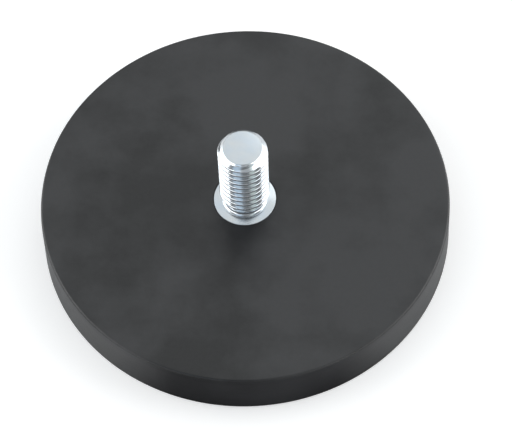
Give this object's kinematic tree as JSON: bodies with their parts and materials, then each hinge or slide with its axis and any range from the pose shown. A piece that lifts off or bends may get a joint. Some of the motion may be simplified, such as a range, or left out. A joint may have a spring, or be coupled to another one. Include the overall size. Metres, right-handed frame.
{
  "type": "rubber-jacketed pot magnet with threaded stud",
  "caption": "Flat round magnet base in a black rubber jacket, with a plated threaded stud standing on a flush round flange in the middle of its back.",
  "frame": {"origin": "centre of the round holding face, on its plane", "axes": "+Z along the stud, out of the back of the magnet; +X and +Y lie in the holding face, and one magnet of each ring lies on +X"},
  "size_m": [0.066, 0.066, 0.0235],
  "materials": {
    "rubber": "matte",
    "zinc_plated_steel": "satin",
    "plate_steel": "satin",
    "nickel_plated_magnet": "gloss"
  },
  "bodies": {
    "root": {"rubber_jacket": "rubber", "threaded_stud": "zinc_plated_steel", "back_plate": "plate_steel", "outer_magnet_01": "nickel_plated_magnet", "outer_magnet_02": "nickel_plated_magnet", "outer_magnet_03": "nickel_plated_magnet", "outer_magnet_04": "nickel_plated_magnet", "outer_magnet_05": "nickel_plated_magnet", "outer_magnet_06": "nickel_plated_magnet", "outer_magnet_07": "nickel_plated_magnet", "outer_magnet_08": "nickel_plated_magnet", "outer_magnet_09": "nickel_plated_magnet", "outer_magnet_10": "nickel_plated_magnet", "outer_magnet_11": "nickel_plated_magnet", "outer_magnet_12": "nickel_plated_magnet", "inner_magnet_01": "nickel_plated_magnet", "inner_magnet_02": "nickel_plated_magnet", "inner_magnet_03": "nickel_plated_magnet", "inner_magnet_04": "nickel_plated_magnet", "inner_magnet_05": "nickel_plated_magnet", "inner_magnet_06": "nickel_plated_magnet"}
  },
  "joints": []
}
